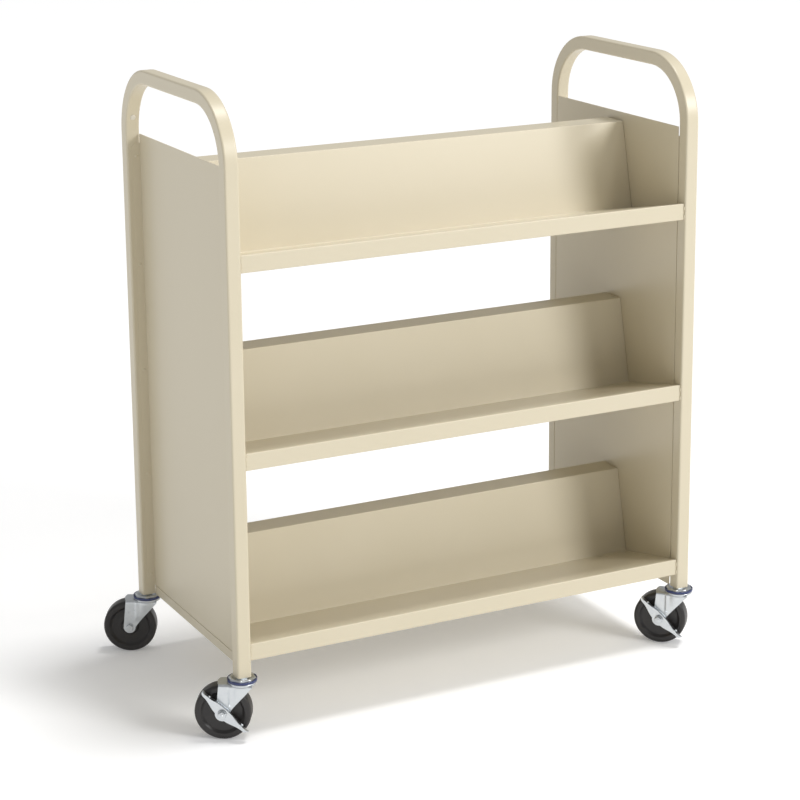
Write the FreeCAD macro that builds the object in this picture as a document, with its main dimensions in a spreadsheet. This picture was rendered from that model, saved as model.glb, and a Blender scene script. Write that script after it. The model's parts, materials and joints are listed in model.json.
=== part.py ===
import FreeCAD, Part
import Sketcher
import math
import os

# Double-sided book cart: three slanted sheet-steel shelves welded between two tubular end frames,
# on four swivel stem casters, the two front ones with a side brake.
#
# Frame: +X runs along the cart, +Y from the front to the back, +Z up. The origin is on the floor,
# under the middle of the bounding box of the cart with its casters trailing as they stand.
# Lengths are in millimetres and angles in degrees.

os.makedirs("parts", exist_ok=True)
doc = FreeCAD.newDocument("book_cart")

SIZES = {
    # overall
    "cart_length": 914.4,
    "cart_depth": 470.0,
    "cart_height": 1105.0,
    # end frames: square tube bent to an upside-down U
    "tube_size": 25.4,
    "tube_wall": 1.5,
    "tube_corner": 3.5,
    "handle_bend": 107.3,
    "grip_gap": 100.0,
    # end panels: a sheet pan that opens outwards between the posts
    "sheet": 1.0,
    "panel_flange": 16.0,
    "panel_hem": 16.5,
    "relief_gap": 3.0,
    "flange_chamfer": 6.0,
    # blind rivets through the panel's flanges into the posts
    "rivet_shank": 3.2,
    "rivet_head": 6.4,
    "rivet_dome": 5.0,
    "rivet_end_gap": 40.0,
    "rivet_count": 5,
    # plug in the drain hole above the panel
    "plug_hole": 8.0,
    "plug_head": 10.5,
    "plug_rim": 1.2,
    "plug_angle": 15.0,
    # shelves: one bent sheet each, W-shaped in section
    "shelf_pitch": 337.5,
    "ridge_below_panel": 15.5,
    "ridge_width": 52.3,
    "back_height": 160.6,
    "shelf_tilt": 12.3,
    "lip_setback": 3.5,
    "lip_height": 30.5,
    "lip_hem": 8.0,
    "end_flange": 15.0,
    "bend_radius": 1.2,
    "end_round": 1.8,
    "weld_radius": 2.0,
    "weld_length": 6.0,
    # casters
    "wheel_diameter": 98.0,
    "wheel_width": 30.0,
    "wheel_headroom": 14.0,
    "trail": 33.0,
    "trail_front_left": 31.0,
    "trail_back_left": 28.0,
    "trail_front_right": 45.0,
    "trail_back_right": 30.0,
    # stem and its socket in the tube
    "socket_length": 30.0,
    "stem_diameter": 11.0,
    "stem_proud": 2.0,
    "stem_bevel": 1.0,
    "neck_diameter": 12.0,
    "collar_flats": 19.0,
    "collar_height": 4.5,
    "rivet_foot": 18.0,
    "rivet_foot_height": 3.0,
    # swivel bearing
    "cap_corners": 49.0,
    "cap_gap": 1.2,
    "cap_height": 4.5,
    "cap_plate": 2.6,
    "cap_bevel": 1.6,
    "cap_recess": 35.6,
    "cap_floor": 28.0,
    "race_inside": 33.2,
    "race_outside": 42.8,
    "ring_diameter": 51.8,
    "ring_bore": 43.6,
    "ring_height": 2.3,
    "ring_lip": 1.2,
    "ring_lip_rise": 2.2,
    "ball_diameter": 4.4,
    "ball_circle": 38.0,
    "ball_count": 22,
    "swivel_gap": 0.3,
    "running_fit": 0.05,
    # fork
    "fork_plate": 2.4,
    "fork_sheet": 2.5,
    "fork_inside": 33.0,
    "hump_drop": 1.7,
    "hump_end": 39.0,
    "leg_half_width": 11.0,
    "dish_diameter": 50.0,
    "dish_depth": 8.0,
    "gusset_front": 20.0,
    "gusset_waist": 25.0,
    "gusset_waist_rise": 22.5,
    "hump_round": 2.0,
    # wheel and axle
    "tyre_band": 10.5,
    "tyre_round": 5.0,
    "web_width": 22.0,
    "web_slope": 4.0,
    "hub_diameter": 30.0,
    "hub_slope": 1.5,
    "bush_diameter": 18.0,
    "bush_gap": 0.2,
    "sleeve_diameter": 12.0,
    "axle_diameter": 8.0,
    "hex_flats": 13.0,
    "hex_height": 5.5,
    # side brake
    "lever_reach": 51.0,
    "lever_angle": 43.5,
    "lever_sheet": 2.0,
    "lever_hub": 25.0,
    "lever_rise": 11.0,
    "lever_root": 8.5,
    "lever_tread": 11.0,
    "lever_tread_round": 6.5,
    "washer_diameter": 16.0,
    "washer_height": 1.2,
}

sheet = doc.addObject("Spreadsheet::Sheet", "Sizes")
for row, (alias, value) in enumerate(SIZES.items(), start=1):
    sheet.set(f"A{row}", alias)
    sheet.set(f"B{row}", str(value))
    sheet.setAlias(f"B{row}", alias)
doc.recompute()


# ---------------------------------------------------------------- places worked out from the sizes

def size(name):
    """The expression that reads one named size from the sheet."""
    return f"Sizes.{name}"


POST_X = "(Sizes.cart_length / 2 - Sizes.tube_size / 2)"
POST_Y = "(Sizes.cart_depth / 2 - Sizes.tube_size / 2)"
INNER_X = "(Sizes.cart_length / 2 - Sizes.tube_size)"
INNER_Y = "(Sizes.cart_depth / 2 - Sizes.tube_size)"
TUBE_INSIDE = "(Sizes.tube_size / 2 - Sizes.tube_wall)"
TUBE_INSIDE_CORNER = "(Sizes.tube_corner - Sizes.tube_wall)"
TUBE_END = "(Sizes.wheel_diameter + Sizes.wheel_headroom)"
PANEL_TOP = "(Sizes.cart_height - Sizes.tube_size - Sizes.grip_gap)"

RIDGE_Y = "(Sizes.ridge_width / 2)"
VALLEY_Y = "(Sizes.ridge_width / 2 + Sizes.back_height * sin(Sizes.shelf_tilt))"
LIP_Y = "(Sizes.cart_depth / 2 - Sizes.lip_setback)"
VALLEY_DROP = "(Sizes.back_height * cos(Sizes.shelf_tilt))"
LIP_DROP = f"({VALLEY_DROP} - ({LIP_Y} - {VALLEY_Y}) * tan(Sizes.shelf_tilt))"
TOP_RIDGE = f"({PANEL_TOP} - Sizes.ridge_below_panel)"

AXLE_Z = "(Sizes.wheel_diameter / 2)"
CAP_TOP = f"({TUBE_END} - Sizes.cap_gap)"
CAP_FLOOR = f"({TUBE_END} - Sizes.collar_height)"
CAP_BOTTOM = f"({CAP_TOP} - Sizes.cap_height)"
RING_BOTTOM = f"({CAP_BOTTOM} - Sizes.ring_height)"
PLATE_TOP = f"({RING_BOTTOM} - Sizes.swivel_gap)"
PLATE_BOTTOM = f"({PLATE_TOP} - Sizes.fork_plate)"
HUMP_TOP = f"({PLATE_TOP} - Sizes.hump_drop)"
FORK_SIDE = "(Sizes.fork_inside / 2 + Sizes.fork_sheet)"

CASTERS = {
    "front_left": (-1, -1),
    "back_left": (-1, 1),
    "front_right": (1, -1),
    "back_right": (1, 1),
}
BRAKED = ("front_left", "front_right")


def number(expression):
    """The present value of an expression over the sheet."""
    return float(sheet.evalExpression(str(expression)))


def reach(caster, along):
    """How far a trailing wheel's edge reaches from its stem: along is cos for X and sin for Y."""
    across = {"cos": "sin", "sin": "cos"}[along]
    angle = size(f"trail_{caster}")
    return (f"((Sizes.trail + Sizes.wheel_diameter / 2) * {along}({angle})"
            f" + Sizes.wheel_width / 2 * {across}({angle}))")


# The casters trail to -X and +Y, so the bounding box runs from the trailing wheels on those sides
# to the seal rings on the others.
RING_REACH = "Sizes.ring_diameter / 2"
LEFT_REACH = f"max({reach('front_left', 'cos')}; {reach('back_left', 'cos')})"
BACK_REACH = f"max({reach('back_left', 'sin')}; {reach('back_right', 'sin')})"
CENTRE_X = f"({LEFT_REACH} - {RING_REACH}) / 2"
CENTRE_Y = f"({RING_REACH} - {BACK_REACH}) / 2"


# ---------------------------------------------------------------- small modelling helpers

def vector(x, y, z):
    """A vector from three expressions or numbers."""
    return FreeCAD.Vector(number(x), number(y), number(z))


def placed(x=0, y=0, z=0, axis=(0, 0, 1), angle=0):
    """A placement from expressions or numbers."""
    return FreeCAD.Placement(vector(x, y, z), FreeCAD.Rotation(FreeCAD.Vector(*axis), number(angle)))


CART = placed(CENTRE_X, CENTRE_Y)


def caster_place(caster):
    """Stem axis of one caster on the floor, with local +X turned the way the wheel trails."""
    side_x, side_y = CASTERS[caster]
    turn = f"180 - {size('trail_' + caster)}"
    return CART.multiply(placed(f"{side_x} * {POST_X}", f"{side_y} * {POST_Y}", 0, angle=turn))


def new_body(label):
    body = doc.addObject("PartDesign::Body", label)
    body.Label = label
    return body


def origin_feature(body, role):
    return next(feature for feature in body.Origin.OriginFeatures if feature.Role == role)


def new_sketch(body, plane, offset=None):
    """Empty sketch on one of the body's origin planes, moved along the plane's normal by offset."""
    sketch = body.newObject("Sketcher::SketchObject", "Sketch")
    sketch.AttachmentSupport = (origin_feature(body, plane), [""])
    sketch.MapMode = "FlatFace"
    if offset is not None:
        sketch.setExpression("AttachmentOffset.Base.z", str(offset))
    return sketch


def fix_point(sketch, edge, end, x, y):
    """Hold one end of an edge at a place given by two expressions."""
    for kind, expression in (("DistanceX", str(x)), ("DistanceY", str(y))):
        index = sketch.addConstraint(Sketcher.Constraint(kind, -1, 1, edge, end, number(expression)))
        sketch.setExpression(f"Constraints[{index}]", expression)


def fix_radius(sketch, edge, radius):
    index = sketch.addConstraint(Sketcher.Constraint("Radius", edge, number(radius)))
    sketch.setExpression(f"Constraints[{index}]", str(radius))


def draw_outline(sketch, corners, closed=True):
    """Straight edges through corners, each a pair of expressions. Returns the first edge's number."""
    points = [vector(x, y, 0) for x, y in corners]
    first = sketch.GeometryCount
    edges = len(points) if closed else len(points) - 1
    for step in range(edges):
        sketch.addGeometry(Part.LineSegment(points[step], points[(step + 1) % len(points)]), False)
    for step in range(edges if closed else edges - 1):
        following = first + (step + 1) % edges
        sketch.addConstraint(Sketcher.Constraint("Coincident", first + step, 2, following, 1))
    for step in range(edges):
        fix_point(sketch, first + step, 1, *corners[step])
    if not closed:
        fix_point(sketch, first + edges - 1, 2, *corners[-1])
    return first


def draw_circle(sketch, x, y, radius):
    circle = Part.Circle(vector(x, y, 0), FreeCAD.Vector(0, 0, 1), number(radius))
    edge = sketch.addGeometry(circle, False)
    fix_point(sketch, edge, 3, x, y)
    fix_radius(sketch, edge, radius)


def draw_polygon(sketch, sides, corner_radius):
    """Regular polygon round the origin with a corner at the top."""
    turns = [360 * side / sides for side in range(sides)]
    draw_outline(sketch, [
        (f"{corner_radius} * sin({turn})", f"{corner_radius} * cos({turn})") for turn in turns
    ])


def draw_rounded_square(sketch, half, corner):
    """Square centred on the origin with corner arcs, all tangent."""
    straight, bend = number(half), number(corner)
    turn = FreeCAD.Vector(0, 0, 1)
    arcs = []
    for quarter, (side_x, side_y) in enumerate(((1, 1), (-1, 1), (-1, -1), (1, -1))):
        centre = FreeCAD.Vector(side_x * (straight - bend), side_y * (straight - bend), 0)
        circle = Part.Circle(centre, turn, bend)
        start = math.radians(90 * quarter)
        arc = sketch.addGeometry(Part.ArcOfCircle(circle, start, start + math.pi / 2), False)
        fix_point(sketch, arc, 3, f"{side_x} * ({half} - {corner})", f"{side_y} * ({half} - {corner})")
        fix_radius(sketch, arc, corner)
        arcs.append(arc)
    for arc, following in zip(arcs, arcs[1:] + arcs[:1]):
        ends = (sketch.getPoint(arc, 2), sketch.getPoint(following, 1))
        line = sketch.addGeometry(Part.LineSegment(*ends), False)
        sketch.addConstraint(Sketcher.Constraint("Tangent", arc, 2, line, 1))
        sketch.addConstraint(Sketcher.Constraint("Tangent", line, 2, following, 1))


def add_feature(body, kind, sketch, **expressions):
    """One PartDesign feature made from a sketch, with its sizes bound to expressions."""
    feature = body.newObject(f"PartDesign::{kind}", kind)
    feature.Profile = sketch
    for name, expression in expressions.items():
        feature.setExpression(name, str(expression))
    return feature


def pad(body, sketch, length, both_ways=False):
    feature = add_feature(body, "Pad", sketch, Length=length)
    feature.Midplane = both_ways
    return feature


def pocket(body, sketch, length, both_ways=False, reverse=False):
    feature = add_feature(body, "Pocket", sketch, Length=length)
    feature.Midplane = both_ways
    feature.Reversed = reverse
    return feature


def turned(body, sketch, axis, kind="Revolution"):
    feature = body.newObject(f"PartDesign::{kind}", kind)
    feature.Profile = sketch
    feature.ReferenceAxis = (origin_feature(body, axis), [""])
    feature.Angle = 360
    return feature


def dress_edges(body, kind, wanted, **expressions):
    """Fillet or Chamfer on the edges of the body's last feature for which wanted(edge) is true."""
    doc.recompute()
    base = body.Tip
    names = [f"Edge{index}" for index, edge in enumerate(base.Shape.Edges, start=1) if wanted(edge)]
    feature = body.newObject(f"PartDesign::{kind}", kind)
    feature.Base = (base, names)
    for name, expression in expressions.items():
        feature.setExpression(name, str(expression))
    return feature


def close_to(value, target):
    return abs(value - target) < 0.01


def runs_along(edge, axis):
    """True for a straight edge parallel to the given coordinate axis (0, 1 or 2)."""
    ends = [vertex.Point for vertex in edge.Vertexes]
    if len(ends) != 2 or edge.Curve.TypeId != "Part::GeomLine":
        return False
    run = ends[1] - ends[0]
    return all(abs(run[other]) < 1e-6 for other in range(3) if other != axis)


def compound(label, pieces):
    group = doc.addObject("Part::Compound", label)
    group.Label = label
    group.Links = pieces
    return group


def primitive(kind, place, **expressions):
    """A Part primitive with its sizes bound to expressions."""
    piece = doc.addObject(f"Part::{kind}", kind)
    for name, expression in expressions.items():
        piece.setExpression(name, str(expression))
    piece.Placement = place
    return piece


nodes = []


def finish(piece, place=None):
    """Count a sub-part in, at its place."""
    if place is not None:
        piece.Placement = place
    nodes.append(piece)


# ---------------------------------------------------------------- end frames

def rivet_heights():
    """Heights of the rivets up the panel's flange, evenly spaced between its two end gaps."""
    count = SIZES["rivet_count"]
    low = f"({TUBE_END} + Sizes.rivet_end_gap)"
    span = f"({PANEL_TOP} - {TUBE_END} - 2 * Sizes.rivet_end_gap)"
    return [f"{low} + {span} * {step} / {count - 1}" for step in range(count)]


def drill_rivet_holes(body, x, reach_y):
    """Rivet holes through both flanges or both inner tube walls: everything within reach_y."""
    sketch = new_sketch(body, "XZ_Plane")
    for height in rivet_heights():
        draw_circle(sketch, x, height, "Sizes.rivet_shank / 2")
    pocket(body, sketch, f"2 * {reach_y}", both_ways=True)


def plug_place(side):
    """Drain hole on the inside of the handle's bend, its axis pointing out of the tube."""
    bend_y = f"{-side} * ({POST_Y} - Sizes.handle_bend)"
    bend_z = "(Sizes.cart_height - Sizes.tube_size / 2 - Sizes.handle_bend)"
    turn = placed(0, bend_y, bend_z, (1, 0, 0), f"{side} * (90 - Sizes.plug_angle)")
    inward = FreeCAD.Placement(FreeCAD.Vector(), FreeCAD.Rotation(FreeCAD.Vector(1, 0, 0), 180))
    return turn.multiply(placed(0, 0, "Sizes.handle_bend - Sizes.tube_size / 2")).multiply(inward)


def end_tube(label, side):
    """Square tube bent to an upside-down U: two posts and the push handle in one piece."""
    body = new_body(label)
    spine = new_sketch(body, "YZ_Plane")
    post, low, high = POST_Y, TUBE_END, "(Sizes.cart_height - Sizes.tube_size / 2)"
    bend = size("handle_bend")
    draw_outline(spine, [(f"-{post}", low), (f"-{post}", f"{high} - {bend}")], closed=False)
    draw_outline(spine, [(f"-{post} + {bend}", high), (f"{post} - {bend}", high)], closed=False)
    draw_outline(spine, [(post, f"{high} - {bend}"), (post, low)], closed=False)
    for turn, (before, after) in ((-1, (0, 1)), (1, (1, 2))):
        centre = vector(f"{turn} * ({post} - {bend})", f"{high} - {bend}", 0)
        circle = Part.Circle(centre, FreeCAD.Vector(0, 0, 1), number(bend))
        start = math.pi / 2 if turn < 0 else 0
        arc = spine.addGeometry(Part.ArcOfCircle(circle, start, start + math.pi / 2), False)
        spine.addConstraint(Sketcher.Constraint("Coincident", arc, 2, before, 2))
        spine.addConstraint(Sketcher.Constraint("Coincident", arc, 1, after, 1))
        fix_radius(spine, arc, bend)
    section = new_sketch(body, "XY_Plane", TUBE_END)
    section.setExpression("AttachmentOffset.Base.y", f"-{POST_Y}")
    draw_rounded_square(section, "Sizes.tube_size / 2", size("tube_corner"))
    draw_rounded_square(section, TUBE_INSIDE, TUBE_INSIDE_CORNER)
    pipe = body.newObject("PartDesign::AdditivePipe", "Bent")
    pipe.Profile = section
    pipe.Spine = (spine, [""])
    drill_rivet_holes(body, f"{side} * (Sizes.panel_flange / 2 - Sizes.tube_size / 2)",
                      f"({INNER_Y} + Sizes.tube_wall * 1.5)")
    hole = body.newObject("PartDesign::SubtractiveCylinder", "DrainHole")
    hole.setExpression("Radius", "Sizes.plug_hole / 2")
    hole.setExpression("Height", "2 * Sizes.tube_wall")
    hole.Placement = plug_place(side).multiply(placed(0, 0, "-1.5 * Sizes.tube_wall"))
    finish(body, CART.multiply(placed(f"{side} * {POST_X}")))


def end_panel(label, side):
    """Sheet pan between the posts: web level with their inner faces, flanges turned outwards."""
    body = new_body(label)
    web = new_sketch(body, "YZ_Plane")
    narrow = f"({INNER_Y} - Sizes.relief_gap)"
    low, high = TUBE_END, PANEL_TOP
    shoulder_low, shoulder_high = f"({low} + Sizes.panel_hem)", f"({high} - Sizes.panel_hem)"
    draw_outline(web, [
        (f"-{narrow}", low), (narrow, low), (narrow, shoulder_low), (INNER_Y, shoulder_low),
        (INNER_Y, shoulder_high), (narrow, shoulder_high), (narrow, high), (f"-{narrow}", high),
        (f"-{narrow}", shoulder_high), (f"-{INNER_Y}", shoulder_high), (f"-{INNER_Y}", shoulder_low),
        (f"-{narrow}", shoulder_low),
    ])
    pad(body, web, size("sheet")).Reversed = side < 0
    for face in (-1, 1):
        flange = new_sketch(body, "XZ_Plane", f"{face} * ({INNER_Y} - Sizes.sheet / 2)")
        edge = f"{side} * Sizes.panel_flange"
        cut = f"{side} * (Sizes.panel_flange - Sizes.flange_chamfer)"
        draw_outline(flange, [
            ("0", shoulder_low), (edge, shoulder_low), (edge, f"{shoulder_high} - Sizes.flange_chamfer"),
            (cut, shoulder_high), ("0", shoulder_high),
        ])
        pad(body, flange, size("sheet"), both_ways=True)
    for base in (low, shoulder_high):
        hem = new_sketch(body, "YZ_Plane", f"{side} * Sizes.sheet")
        draw_outline(hem, [
            (f"-{narrow}", base), (narrow, base), (narrow, f"{base} + Sizes.panel_hem"),
            (f"-{narrow}", f"{base} + Sizes.panel_hem"),
        ])
        pad(body, hem, size("sheet")).Reversed = side < 0
    drill_rivet_holes(body, f"{side} * Sizes.panel_flange / 2", f"({INNER_Y} + Sizes.sheet)")
    finish(body, CART.multiply(placed(f"{side} * {INNER_X}")))


def panel_rivets(label, side):
    """Blind rivets: a low domed head on the flange and a shank through flange and tube wall."""
    rivets = []
    for face in (-1, 1):
        for height in rivet_heights():
            spot = placed(f"{side} * ({INNER_X} + Sizes.panel_flange / 2)",
                          f"{face} * ({INNER_Y} - Sizes.sheet)", height, (1, 0, 0), 90 * face)
            place = CART.multiply(spot)
            rise = "sqrt(pow(Sizes.rivet_dome; 2) - pow(Sizes.rivet_head / 2; 2))"
            sink = FreeCAD.Placement(FreeCAD.Vector(0, 0, -number(rise)), FreeCAD.Rotation())
            head = primitive("Sphere", place.multiply(sink), Radius=size("rivet_dome"),
                             Angle1=f"acos(Sizes.rivet_head / 2 / Sizes.rivet_dome)")
            shank_length = "(Sizes.sheet + Sizes.tube_wall)"
            down = FreeCAD.Placement(FreeCAD.Vector(0, 0, -number(shank_length)), FreeCAD.Rotation())
            shank = primitive("Cylinder", place.multiply(down), Radius="Sizes.rivet_shank / 2",
                              Height=shank_length)
            rivet = doc.addObject("Part::MultiFuse", "Rivet")
            rivet.Shapes = [head, shank]
            rivets.append(rivet)
    finish(compound(label, rivets))


def hole_plugs(label):
    """Snap-in plugs in the drain holes, one in each end tube, on opposite posts. Each rim rests on
    the curved wall by its two edges, a little above the wall's crown."""
    plugs = []
    for side in (-1, 1):
        place = CART.multiply(placed(f"{side} * {POST_X}")).multiply(plug_place(side))
        room = "(2 * Sizes.handle_bend - Sizes.tube_size - Sizes.plug_head)"
        seat = f"(pow(Sizes.plug_head / 2; 2) / {room})"
        rim_place = place.multiply(placed(0, 0, seat))
        rim = primitive("Cone", rim_place, Radius1="Sizes.plug_head / 2",
                        Radius2="Sizes.plug_head / 2 - Sizes.plug_rim", Height=size("plug_rim"))
        down = FreeCAD.Placement(FreeCAD.Vector(0, 0, -number(size("tube_wall"))), FreeCAD.Rotation())
        stub = primitive("Cylinder", place.multiply(down), Radius="Sizes.plug_hole / 2",
                         Height=f"Sizes.tube_wall + {seat}")
        plug = doc.addObject("Part::MultiFuse", "Plug")
        plug.Shapes = [rim, stub]
        plugs.append(plug)
    finish(compound(label, plugs))


# ---------------------------------------------------------------- shelves

def shelf_line(depth, hem_start):
    """Corners of the front half of a shelf's section, from the lip's hem to the ridge, measured
    from under the ridge line. The line lies depth inside the sheet's outer face, square to it."""
    tilt = size("shelf_tilt")
    lip_low = f"(-{LIP_DROP} - Sizes.lip_height)"
    return [
        (f"-{LIP_Y} + {hem_start}", f"{lip_low} + {depth}"),
        (f"-{LIP_Y} + {depth}", f"{lip_low} + {depth}"),
        (f"-{LIP_Y} + {depth}", f"-{LIP_DROP} - {depth} * (tan({tilt}) + 1 / cos({tilt}))"),
        (f"-{VALLEY_Y} + {depth} * (cos({tilt}) - sin({tilt}))",
         f"-{VALLEY_DROP} - {depth} * (cos({tilt}) + sin({tilt}))"),
        (f"-{RIDGE_Y} + {depth} * (1 / cos({tilt}) - tan({tilt}))", f"-{depth}"),
    ]


def mirrored(line):
    """The back half of a section line, in reverse order."""
    return [(f"-({y})", z) for y, z in reversed(line)]


def book_shelf(label, level):
    """Double-sided slanted shelf bent from one sheet, with flanges turned down at both ends."""
    body = new_body(label)
    outer = shelf_line("0", size("lip_hem"))
    inner = shelf_line(size("sheet"), size("lip_hem"))
    section = new_sketch(body, "YZ_Plane")
    draw_outline(section, outer + mirrored(outer) + list(reversed(inner + mirrored(inner))))
    pad(body, section, f"2 * {INNER_X}", both_ways=True)
    deep = shelf_line(size("end_flange"), size("end_flange"))[1:]
    lip_low = f"(-{LIP_DROP} - Sizes.lip_height)"
    strip = [(f"-{LIP_Y}", lip_low)] + outer[2:]
    under = [(f"-{LIP_Y} + Sizes.end_flange", lip_low)] + deep[1:]
    for side in (-1, 1):
        flange = new_sketch(body, "YZ_Plane", f"{side} * ({INNER_X} - Sizes.sheet / 2)")
        draw_outline(flange, strip + mirrored(strip) + list(reversed(under + mirrored(under))))
        pad(body, flange, size("sheet"), both_ways=True)
    outer_bends = {(number(y), number(z)) for y, z in (outer + mirrored(outer))[1:-1]}

    def is_outer_bend(edge):
        spot = edge.Vertexes[0].Point
        return runs_along(edge, 0) and any(
            close_to(spot.y, y) and close_to(spot.z, z) for y, z in outer_bends)

    dress_edges(body, "Fillet", is_outer_bend, Radius="Sizes.bend_radius + Sizes.sheet / 2")
    skin = Part.makePolygon([vector(0, y, z) for y, z in outer + mirrored(outer)])
    end, above = number(INNER_X), number(f"{lip_low} + 2 * Sizes.bend_radius")

    def is_end_rim(edge):
        middle = edge.valueAt((edge.FirstParameter + edge.LastParameter) / 2)
        on_skin = skin.distToShape(Part.Vertex(0, middle.y, middle.z))[0] < number("Sizes.sheet / 2")
        return on_skin and middle.z > above and all(close_to(abs(v.X), end) for v in edge.Vertexes)

    dress_edges(body, "Fillet", is_end_rim, Radius=size("end_round"))
    finish(body, CART.multiply(placed(0, 0, f"{TOP_RIDGE} - {level} * Sizes.shelf_pitch")))


def shelf_welds(label):
    """Tack welds where each shelf's front and back lips meet the posts."""
    beads = []
    for level in range(3):
        lip_top = f"({TOP_RIDGE} - {level} * Sizes.shelf_pitch - {LIP_DROP})"
        for side in (-1, 1):
            for face in (-1, 1):
                turn = {(-1, -1): -90, (1, -1): 180, (-1, 1): 0, (1, 1): 90}[side, face]
                for share in (0.3, 0.8):
                    low = f"{lip_top} - Sizes.lip_height * {share} - Sizes.weld_length / 2"
                    spot = placed(f"{side} * {INNER_X}", f"{face} * {LIP_Y}", low, angle=turn)
                    bead = primitive("Cylinder", CART.multiply(spot), Radius=size("weld_radius"),
                                     Height=size("weld_length"))
                    bead.Angle = 90
                    beads.append(bead)
    finish(compound(label, beads))


# ---------------------------------------------------------------- casters

def stem_socket(caster):
    """Plug pressed into the tube's end that takes the caster's stem."""
    body = new_body(f"{caster}_stem_socket")
    block = new_sketch(body, "XY_Plane", TUBE_END)
    draw_rounded_square(block, TUBE_INSIDE, TUBE_INSIDE_CORNER)
    draw_circle(block, "0", "0", "Sizes.stem_diameter / 2")
    pad(body, block, size("socket_length"))
    side_x, side_y = CASTERS[caster]
    finish(body, CART.multiply(placed(f"{side_x} * {POST_X}", f"{side_y} * {POST_Y}")))


def stem(caster):
    """Stem with its wrench collar, and the riveted neck that holds the fork under the cap."""
    body = new_body(f"{caster}_stem")
    foot_top = f"({PLATE_BOTTOM} - Sizes.swivel_gap)"
    foot_low = f"({foot_top} - Sizes.rivet_foot_height)"
    turned_half = new_sketch(body, "XZ_Plane")
    top = f"({TUBE_END} + Sizes.socket_length + Sizes.stem_proud)"
    foot, neck, pin = "Sizes.rivet_foot / 2", "Sizes.neck_diameter / 2", "Sizes.stem_diameter / 2"
    bevel = size("stem_bevel")
    draw_outline(turned_half, [
        ("0", foot_low), (f"{foot} - {bevel}", foot_low), (foot, f"{foot_low} + {bevel}"),
        (foot, foot_top), (neck, foot_top), (neck, CAP_FLOOR), (pin, CAP_FLOOR),
        (pin, f"{top} - {bevel}"), (f"{pin} - {bevel}", top), ("0", top),
    ])
    turned(body, turned_half, "Z_Axis")
    collar = new_sketch(body, "XY_Plane", CAP_FLOOR)
    draw_polygon(collar, 6, "(Sizes.collar_flats / 2 / cos(30))")
    pad(body, collar, size("collar_height"))
    finish(body, caster_place(caster))


def race_cap(caster):
    """Eight-sided pressed cap fixed to the stem: a raised rim round a sunk floor, with the upper
    ball race under the rim."""
    body = new_body(f"{caster}_race_cap")
    plate = new_sketch(body, "XY_Plane", CAP_BOTTOM)
    draw_polygon(plate, 8, "(Sizes.cap_corners / 2)")
    pad(body, plate, size("cap_height"))
    top = number(CAP_TOP)

    def is_top_rim(edge):
        return edge.Curve.TypeId == "Part::GeomLine" and all(close_to(v.Z, top) for v in edge.Vertexes)

    dress_edges(body, "Chamfer", is_top_rim, Size=size("cap_bevel"))
    recess = new_sketch(body, "XZ_Plane")
    draw_outline(recess, [
        ("0", CAP_FLOOR), ("Sizes.cap_floor / 2", CAP_FLOOR), ("Sizes.cap_recess / 2", CAP_TOP),
        ("0", CAP_TOP),
    ])
    turned(body, recess, "Z_Axis", "Groove")
    race = new_sketch(body, "XZ_Plane")
    race_top = f"({CAP_TOP} - Sizes.cap_plate)"
    draw_outline(race, [
        ("Sizes.race_inside / 2", CAP_BOTTOM), ("Sizes.race_outside / 2", CAP_BOTTOM),
        ("Sizes.race_outside / 2", race_top), ("Sizes.race_inside / 2", race_top),
    ])
    turned(body, race, "Z_Axis", "Groove")
    bore = new_sketch(body, "XY_Plane", CAP_BOTTOM)
    draw_circle(bore, "0", "0", "Sizes.neck_diameter / 2")
    pocket(body, bore, size("cap_height"), reverse=True)
    finish(body, caster_place(caster))


def seal_ring(caster):
    """Plastic ring under the cap's rim that keeps dirt out of the swivel balls."""
    body = new_body(f"{caster}_seal_ring")
    section = new_sketch(body, "XZ_Plane")
    outside, bore = "Sizes.ring_diameter / 2", "Sizes.ring_bore / 2"
    lip = "Sizes.ring_diameter / 2 - Sizes.ring_lip"
    draw_outline(section, [
        (bore, RING_BOTTOM), (outside, RING_BOTTOM), (outside, f"{CAP_BOTTOM} + Sizes.ring_lip_rise"),
        (lip, f"{CAP_BOTTOM} + Sizes.ring_lip_rise"), (lip, CAP_BOTTOM), (bore, CAP_BOTTOM),
    ])
    turned(body, section, "Z_Axis")
    finish(body, caster_place(caster))


def swivel_balls(caster):
    """Balls between the fork's plate and the cap."""
    height = f"(({PLATE_TOP} + {CAP_TOP} - Sizes.cap_plate) / 2)"
    balls = []
    for step in range(SIZES["ball_count"]):
        turn = 360 * step / SIZES["ball_count"]
        spot = placed("Sizes.ball_circle / 2", "0", height)
        place = caster_place(caster).multiply(placed(angle=turn)).multiply(spot)
        balls.append(primitive("Sphere", place, Radius="Sizes.ball_diameter / 2"))
    finish(compound(f"{caster}_swivel_balls", balls))


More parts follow.
